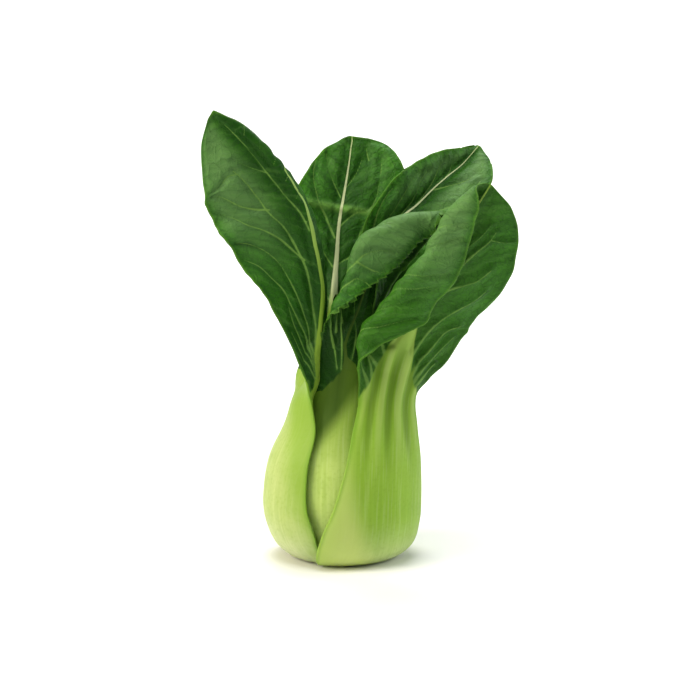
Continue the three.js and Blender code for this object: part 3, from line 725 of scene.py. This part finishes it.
# ---- Left leaf ---------------------------------------------------------------------------------
# The tallest leaf, opposite the first. Its stalk is the pale left side of the bulb. The blade
# turns to face forward above the neck, and its inner half is bent straight back out of sight.
left = Leaf("leaf_left", [
    ([-9.9, -3.4, 3.2], 289, [9, 9], 11),
    ([-16.5, -5.6, 0.8], 289, [16, 16], 17.5),
    ([-20.5, -7.1, 1.2], 289, [20, 19.5], 22),
    ([-26, -9, 6.5], 289, [23.5, 25], 28),
    ([-29.6, -10.2, 16], 289, [27, 27], 31.2),
    ([-30.2, -10.5, 25], 289, [28, 25], 31.6),
    ([-27.8, -10.5, 40], 290, [23, 22], 29.5),
    ([-21.8, -10, 54], 290, [15, 17.6], 24.5),
    ([-19.4, -9.4, 64], 285, [12.5, 14], 22),
], [
    ([-14, -9, 74], 264, [12, 12.5], [-30, 0], [0, 10]),
    ([-9.8, -10, 89], 215, [12, 15], [-50, 0], [-10, 10]),
    ([-8.4, -11, 104.7], 190, [14, 21], [-80, 4], [-10, 12]),
    ([-9.3, -11, 117.3], 182, [16, 27], [-85, 5], [-10, 14]),
    ([-11.6, -11, 128.3], 180, [16, 30], [-86, 5], [-10, 14]),
    ([-15.1, -11, 139.2], 180, [14, 32], [-85, 5], [-10, 14]),
    ([-20.1, -11, 148.5], 180, [11, 32.5], [-86, 5], [-10, 14]),
    ([-25.9, -12, 156.7], 180, [8, 31.4], [-86, 5], [-10, 12]),
    ([-32.3, -13, 164.4], 180, [5.5, 29.4], [-86, 5], [-8, 10]),
    ([-40.7, -14, 171.4], 180, [3, 21.8], [-84, 4], [-5, 6]),
    ([-46.4, -15.3, 175.4], 180, [1.8, 13.5], [-70, 2]),
    ([-49.6, -16, 177.6], 180, [0.8, 3]),
], midrib=0.5, midrib_path=(
    (80, 8), (90, 6.5), (97, 3.5), (105, 1.1), (116, 0.2), (123, -0.5), (128, -0.8), (134, -0.5),
    (144, -0.5), (155, -1.2), (161, -2), (167, -1.6),
    (175, -1.9), (180, -5), (190, -8)), bloom=(0, 0.8), behind=9,
    flesh=((-14, 40, 40), (-8, 12, 9), (-4, 5, 3.5), (-1, 1.6, 1.3), (3, 0.7, 0.6), (12, 0.3, 0.3),
           (22, 0, 0)))
# The paler stalk is in part the leaf's own colour and in part painted light on the side the light
# comes from; the greener strip towards its right edge is painted shade on the side turned away.
pale_skin = leaf_skin("living brassica leaf, paler stalk", "#c8d0aa", "#adbf72", "#8cae44",
                      midrib_green="#5a7f30", midrib_tip="#a8c88c",
                      sides=((1.3, 1.9, 0, 0.75, "#84a834"),))
make_leaf(left, pale_skin, grown=grown_veins(left, (0,), width=0.14), drawn=[
    ((7, 89), (3.8, 98.4), (2.2, 104.7), (2.1, 112.6), (3.2, 120.4), (4, 128.6), (4.8, 135.4),
     (6.7, 144.2), (8.9, 153.7), (12.2, 163.9), (12.6, 172.9), (12.7, 180), (13.5, 189), 0.6),
    ((11.6, 165), (16, 168.5), (19.5, 173), (22, 178), 0.4),
    ((5, 139), (8, 143.5), (12, 150), (15, 154), (18.5, 159), (22, 164), (25, 171), (28, 177),
     SIDE_VEIN),
    ((7.5, 89), (5.4, 96.5), (4.1, 102), (4.6, 110.7), (7.2, 118.1), (10.2, 126.5), (12.7, 134),
     (14.8, 140.1), (19.1, 147), (23, 151.2), (29, 156.2), SIDE_VEIN),
    ((8, 88), (6.9, 93.4), (5.3, 99.5), (5.4, 106.6), (9, 113.9), (12.2, 120.6), (15, 127.9),
     (19.1, 134), (23.7, 141.7), (28, 145.6), 0.45),
    ((8.6, 87), (7, 93), (6.3, 99.5), (8.5, 106.4), (11.7, 113.9), (13.1, 119.8), 0.4),
    ((9.4, 86), (8.6, 91), (8.2, 97.3), (10.1, 103.4), (13, 109.7), 0.35),
    ((0, 150), (1.2, 158), (3, 165), (3.8, 175), (3.8, 186), (2.6, 195), (1.2, 204), 0.4),
    ((13, 186), (17, 189), (21, 188), (25, 189), 0.25),
    ((3.7, 178), (8, 185), (10, 192), 0.25),
    ((21, 176), (24, 183), (26, 186), 0.25),
])

# ---- Back right leaf ---------------------------------------------------------------------------
# Leans out to the right behind the folded leaf. Its two halves stand up like a shallow trough
# along a thin cream midrib.
back_right = Leaf("leaf_back_right", [
    ([8.3, 6.5, 3.2], 128, [9, 9], 11),
    ([13.8, 10.8, 0.8], 128, [15, 16], 17.5),
    ([18.1, 14.2, 1], 128, [19, 21], 23),
    ([22.5, 17.6, 6], 128, [21, 24.5], 28.6),
    ([25, 19.5, 16], 128, [21.5, 27], 31.7),
    ([25.2, 19.7, 25], 128, [21, 27.5], 32),
    ([23.6, 18.5, 40], 130, [20, 24], 30),
    ([20, 15.8, 54], 132, [16, 18], 26),
    ([16.8, 13, 66], 135, [12, 13], 22),
    ([15.2, 11.2, 80], 140, [10, 10], 20),
], [
    ([15, 11, 96], 148, [10, 10], FLAT, [25, 25]),
    ([16, 11, 112], 156, [18, 10.5], [8, 18], [20, 10]),
    ([18.8, 12.3, 126], 165, [22, 11.5], [18, 36], [0, -5]),
    ([23.2, 14, 134.2], 174, [22.5, 12.9], [22, 45], [-10, -10]),
    ([30.3, 17.5, 140], 180, [20.5, 15.2], [26, 46], [-15, -12]),
    ([37.1, 21, 146.4], 180, [19, 13.5], [26, 44], [-15, -12]),
    ([43.3, 24, 151.7], 180, [18.3, 11.5], [25, 40], [-12, -10]),
    ([48.8, 27, 156], 180, [16.5, 8.5], [22, 36], [-8, -8]),
    ([53.2, 29.6, 160.5], 180, [10, 4], [16, 24]),
    ([56.2, 31.6, 163.6], 180, [1, 1]),
], midrib=0.5, bloom=(0.8, 0.8))
# The blade green here is lighter than on the other leaves: painted light on the back leaves, which
# are turned up to the light.
back_skin = leaf_skin("living brassica leaf, cream midrib", midrib_green="#cdd8a4",
                      blade_green="#357516", pleated=0.35)
make_leaf(back_right, back_skin, [
    ((3, 130), (6.5, 139), (8.4, 146), (10, 150), (11.2, 153.5), (12.3, 158), SIDE_VEIN),
    ((2, 141), (4.2, 148), (5, 154), (7.5, 160), (9.5, 167), (10.3, 171), SIDE_VEIN),
    ((0.5, 150), (2.2, 159), (4, 164), (6.5, 170), (7.5, 175), 0.35),
    ((0, 160), (1.3, 168), (2.8, 174.5), (5, 179.5), (7, 184), 0.35),
    ((0, 178), (1.2, 183), (3.3, 186), (6, 189), 0.3),
    ((1, 120), (4, 128), (7, 135), (10, 141), SIDE_VEIN),
    ((-1, 153), (-3, 158.5), (-6, 162.5), (-10.3, 166.3), (-13, 171), (-14.6, 177.5), (-14, 182),
     (-12.7, 186.5), SIDE_VEIN),
    ((-1, 141), (-7, 148), (-13, 152), (-18, 158), SIDE_VEIN),
    ((-1, 130), (-6, 137), (-12, 143), (-18, 147), SIDE_VEIN),
    ((-1, 120), (-5, 127), (-10, 134), (-16, 139), SIDE_VEIN),
    ((-0.5, 172), (-4, 177), (-8, 183), (-9, 188), 0.35),
])

# ---- Front leaf --------------------------------------------------------------------------------
# A younger leaf inside the two big ones. Its stalk fills the gap between theirs, and its short
# blade, its back painted dark as shade, is folded over to the right, with a finely toothed margin.
front = Leaf("leaf_front", [
    ([-1.2, -9, 6.5], 352, [8, 8], 10),
    ([-2.2, -16, 3.5], 352, [11, 10], 13),
    ([-3.2, -23, 6.5], 352, [13, 12], 17),
    ([-4, -27, 14], 352, [15, 13.5], 19),
    ([-4.3, -29, 26], 352, [16, 14], 20),
    ([-4, -27, 40], 352, [15, 13], 19),
    ([-3.3, -22, 54], 354, [12, 12], 16),
    ([-2.2, -17.2, 66], 356, [10, 10.5], 14.5),
], [
    ([-0.8, -13.8, 78], 358, [9, 10], FLAT, [24, 30]),
    ([1, -12.8, 86], 359, [9.5, 10], FLAT, [0, 25], [0.3, 1, 0, 1]),
    ([3.2, -12, 93], 360, [11.5, 9.5], FLAT, [-70, 15], [0.35, 1, 0, 1]),
    ([6, -11.3, 100], 361, [16.5, 9], [3, 5], [-150, 15], [0.36, 0.88, 0, 1]),
    ([9.1, -10.5, 108.7], 362, [20, 9], [8, 8], [-185, 15], [0.27, 0.74, 0, 1]),
    ([12.8, -10, 115.6], 363, [27, 9.5], [10, 8], [-190, 15], [0.25, 0.61, 0, 1]),
    ([16.9, -9.5, 122.3], 364, [31, 10], [10, 8], [-192, 15], [0.25, 0.56, 0, 1]),
    ([21.5, -9.2, 127.5], 365, [27, 10], [10, 8], [-192, 15], [0.22, 0.56, 0, 1]),
    ([26.7, -9, 131.3], 366, [20, 9], [8, 8], [-185, 10], [0.18, 0.58, 0, 1]),
    ([34, -8.3, 134.5], 368, [13, 6], [5, 5], [-170, 5], [0.15, 0.6, 0, 1]),
    ([42.5, -8, 137], 368, [1, 1]),
], teeth=(0, 1.1, 3.3), midrib=0.4, midrib_path=((66, 0), (76, 1), (90, 3), (100, 0)),
   bloom=(1, 0), flesh=(
    (-14, 40, 40), (-10, 8, 14), (-5, 3.5, 9), (-1, 1.5, 6), (3, 0.3, 3), (5, 0, 0)))
# The back of the blade and the midrib are painted near black-green, and a dark strip runs up the
# left side of the stalk towards the neck: painted shade of the gap between the two big leaves. The
# strip is in part the young leaf's own greener margin.
young_skin = leaf_skin("living brassica leaf, young and dark", stalk_green="#b6cd70",
                       neck_green="#90ad48", neck_heights=(46, 70), midrib_green="#2c4a14",
                       back_green="#12320a", sides=((-4.5, -3.7, 0.95, 0, "#2e4a0e"),),
                       tilt=-0.06)
make_leaf(front, young_skin, [
    ((-4, 118), (-10, 125), (-14.5, 129.5), (-17, 134), (-19.5, 136.5), (-22, 139), (-25.5, 142),
     SIDE_VEIN),
    ((-15.5, 131), (-19.3, 131), (-22.5, 131.2), (-28, 133), 0.4),
    ((-4, 108), (-9, 117), (-13.6, 123), (-16, 125.5), (-20, 126), (-24, 124), 0.45),
    ((-5, 104), (-8, 112), (-10, 118), (-13, 119.5), (-17, 119), 0.4),
    ((-2, 124), (-7, 134), (-10, 141), (-12, 147), 0.4),
    ((-4, 98), (-8, 105), (-12, 110), (-15, 111), 0.4),
    ((0.7, 90), (-0.2, 96), (-1.2, 100), (-4, 107), (-6, 112), 0.4),
    ((-0.9, 90), (-2.5, 95), (-4.3, 99), (-7.2, 104), (-9, 108), 0.35),
    ((3.9, 95), (3.8, 100), (2.7, 106), (-0.5, 112), (-2.5, 118), 0.4),
])

# ---- Back leaf ---------------------------------------------------------------------------------
# Stands upright at the back, nearly flat, with a broad cream midrib and a crease pressed across
# the blade by its neighbours.
upright = Leaf("leaf_back", [
    ([-2.8, 9.6, 4.2], 196, [8, 8], 10),
    ([-4.3, 15, 2], 196, [12, 14], 15),
    ([-5.8, 20.2, 3.8], 196, [14, 18], 19),
    ([-6.9, 24.2, 11], 196, [14.5, 20], 23),
    ([-7.5, 26.2, 24], 196, [14, 21], 24),
    ([-7.1, 24.6, 40], 195, [12.5, 17.5], 21),
    ([-6, 20.5, 54], 193, [11, 13], 18),
    ([-5, 17, 66], 190, [9.5, 10.5], 16),
    ([-4.6, 14.8, 80], 186, [9.5, 10], 18),
], [
    ([-4.4, 14.4, 94], 183, [13, 13], FLAT, [18, 18]),
    ([-4.1, 15.5, 106], 180, [17, 18], [3, 3], [18, 18]),
    ([-3.1, 19, 119], 180, [21, 22], [3, 3], [18, 18]),
    ([-2.1, 23, 131.8], 180, [25, 22], [2, 2], [14, 14]),
    ([-0.1, 26.5, 143.9], 180, [25, 18.5], [2, 2], [12, 12]),
    ([1.8, 30, 155.5], 180, [24, 13.3], [2, 2], [10, 10]),
    ([2.7, 31.7, 162.2], 180, [19.8, 8.8], [2, 2], [8, 8]),
    ([3.2, 32.4, 165.5], 180, [15.7, 4.3]),
    ([3.25, 32.65, 166.7], 180, [12.4, 2.6]),
    ([3.3, 32.8, 167.6], 180, [7.5, 0.8]),
], midrib=0.75, midrib_path=((100, -0.8), (170, -0.8)), bloom=(0.25, 0.25),
   fold=(150.6, 1), flesh=((-20, 30, 30), (-10, 7, 7), (-2, 1.6, 1.6), (10, 0.3, 0.3), (20, 0, 0)))
make_leaf(upright, back_skin, [
    ((0.5, 138), (3, 142.5), (5.5, 147), (8.7, 151), (10.5, 155), (12.2, 159), (13.2, 164),
     (13, 169), SIDE_VEIN),
    ((-0.5, 142), (-4.5, 147), (-7.5, 149.7), (-11.5, 150.5), (-13, 153), (-14, 156), (-14.5, 162),
     (-14.5, 168), (-14, 174), SIDE_VEIN),
    ((-8.8, 172), (-7, 177), 0.3),
    ((0.5, 126), (3.8, 130.5), (6.3, 134), (9, 141), 0.4),
    ((-0.8, 126), (-2.5, 128), (-6.9, 131), (-8.8, 134), (-9.4, 138), (-10.5, 144), 0.4),
    ((1, 112), (5, 118), (10, 125), (15, 131), (20, 140), SIDE_VEIN),
    ((-1, 112), (-5, 118), (-11, 126), (-17, 134), (-21, 143), SIDE_VEIN),
    ((1, 103), (4, 110), (9, 116), (14, 122), SIDE_VEIN),
    ((-1, 102), (-4, 109), (-9, 116), (-14, 123), SIDE_VEIN),
    ((0.3, 155), (5, 162), (8, 168), (9, 173), 0.3),
    ((-0.3, 158), (-4, 165), (-6, 172), 0.3),
])

# ---- Heart -------------------------------------------------------------------------------------
# Five young leaves on the same spiral, each shorter, slimmer and nearer the middle. They are
# curled into one another and fill the inside of the head.
SPIRAL_STEP, HEART_FIRST_AZIMUTH, HEART_SHIFT = 137.5, 345, 6
HEART = [  # height, radius in the bulb, radius at the neck, lean, half width, thickness
    (128, 20, 10, 8, 9.5, 0.7),
    (106, 17, 8, 1, 9, 0.62),
    (104, 13.5, 6, 0, 7.5, 0.55),
    (88, 9.5, 4, 0.5, 6.5, 0.45),
    (68, 5.5, 2, 1, 4.5, 0.4),
]


def heart_leaf(index, height, bulb, neck, lean, width, thickness):
    azimuth = HEART_FIRST_AZIMUTH - SPIRAL_STEP * index
    turn, side = math.radians(azimuth), azimuth + 90

    def place(radius, z):
        shift = float(ease(z, 20, 75)) * HEART_SHIFT
        return (math.cos(turn) * radius + shift, math.sin(turn) * radius, z)

    neck_height, middle, narrowest = 0.62 * height, 0.5 * (bulb + neck), max(neck, 6)

    def opening(share, width_share, radius_share):
        at = place(neck + lean * share**2, neck_height + (height - neck_height) * share)
        half = width * width_share
        curl = math.degrees(half / (narrowest * radius_share))
        return at, side, (half, half), FLAT, (curl, curl)

    return Leaf(f"leaf_heart_{index + 1}", [
        (place(0.5 * bulb, 9), side, (0.35 * bulb,) * 2, 0.5 * bulb),
        (place(0.85 * bulb, 11), side, (0.6 * bulb,) * 2, 0.8 * bulb),
        (place(bulb, 24), side, (0.75 * bulb,) * 2, bulb),
        (place(middle, 0.7 * neck_height), side, (0.8 * width,) * 2, 0.8 * bulb),
        (place(neck, neck_height), side, (0.62 * width,) * 2, narrowest),
    ], [
        opening(0.3, 0.85, 1.2),
        opening(0.6, 1, 1.5),
        opening(0.85, 0.72, 1.8),
        opening(0.96, 0.36, 2),
        opening(1, 0.1, 2),
    ], thickness, midrib=0.45, flesh=((-18, 30, 30), (-10, 5, 5), (-2, 1, 1), (0, 0, 0)))


# The heart leaves are painted far darker than young leaves are, in blade, back, veins and neck:
# painted shade for the dark inside of the head.
heart_skin = leaf_skin("living brassica leaf, curled in the heart", stalk_green="#b6cd70",
                       neck_green="#3f6a12", neck_heights=(40, 80), midrib_green="#4f7424",
                       blade_green="#143c08", back_green="#143808", vein_green="#41682a",
                       deep_and_shaded_green="#12320a")
for index, sizes in enumerate(HEART):
    young = heart_leaf(index, *sizes)
    make_leaf(
        young, heart_skin, grown=grown_veins(young, spacing=7.0, width=0.25), coarse=1.3)

# ---- Floor and light ---------------------------------------------------------------------------
# A plain floor of white backdrop paper, which lies flat under the head and sweeps up behind it
# without a corner. Large soft panels light it from both sides, from above and at the back.
FLOOR_HALF_WIDTH, FLOOR_HALF_LENGTH = 4, 3  # m
SWEEP_START, SWEEP_RADIUS, QUARTER_TURN = 1.6, 0.8, 1.57
bm = bmesh.new()
bmesh.ops.create_grid(bm, x_segments=1, y_segments=60, size=1)
for v in bm.verts:
    v.co.x *= FLOOR_HALF_WIDTH
    run = v.co.y * FLOOR_HALF_LENGTH
    v.co.y = run
    if run > SWEEP_START:
        bend = min((run - SWEEP_START) / SWEEP_RADIUS, QUARTER_TURN)
        v.co.y = SWEEP_START + SWEEP_RADIUS * math.sin(bend)
        upright_run = max(0, run - SWEEP_START - SWEEP_RADIUS * QUARTER_TURN)
        v.co.z = SWEEP_RADIUS * (1 - math.cos(bend)) + upright_run
floor = new_piece("floor", bm)
# Backdrop paper is matt and white, and gives back no reflection of the head.
floor.data.materials.append(new_material("matt white backdrop paper", {
    "Base Color": linear("#f4f4f2"), "Roughness": 0.9, "Specular IOR Level": 0.2})[0])


def soft_panel(name, place, size, watts, target=(0, 0, 0.09), colour="#ffffff"):
    data = bpy.data.lights.new(name, "AREA")
    data.shape, data.size, data.energy = "SQUARE", size, watts
    data.color = linear(colour)[:3]
    panel = bpy.data.objects.new(name, data)
    panel.location = place
    panel.rotation_euler = (Vector(target) - Vector(place)).to_track_quat("-Z", "Y").to_euler()
    bpy.context.collection.objects.link(panel)


soft_panel("left panel", (-0.85, -0.3, 0.5), 0.6, 9, colour="#fff2dc")
soft_panel("right panel", (0.95, 0.2, 0.5), 0.6, 5)
soft_panel("top panel", (-0.1, -0.25, 1.2), 0.6, 8)
soft_panel("backdrop panel", (0, 0.9, 1.7), 1.2, 55, target=(0, 2.3, 0.2))
world = bpy.data.worlds.new("pale studio")
world.use_nodes = True
background = world.node_tree.nodes["Background"].inputs
background["Color"].default_value, background["Strength"].default_value = (1, 1, 1, 1), 0.15
bpy.context.scene.world = world
bpy.context.scene.view_settings.view_transform = "Standard"

# ---- Camera ------------------------------------------------------------------------------------
# A long lens straight in front of the head and a little above it, far enough away to show the
# leaves without much perspective.
TARGET = Vector((0.0032, 0, 0.0834))
ELEVATION = math.radians(8)
DISTANCE = 0.7
camera_data = bpy.data.cameras.new("camera")
camera_data.lens, camera_data.sensor_width = 90, 36
camera = bpy.data.objects.new("camera", camera_data)
camera.location = TARGET + DISTANCE * Vector((0, -math.cos(ELEVATION), math.sin(ELEVATION)))
camera.rotation_euler = (math.pi / 2 - ELEVATION, 0, 0)
bpy.context.collection.objects.link(camera)
bpy.context.scene.camera = camera
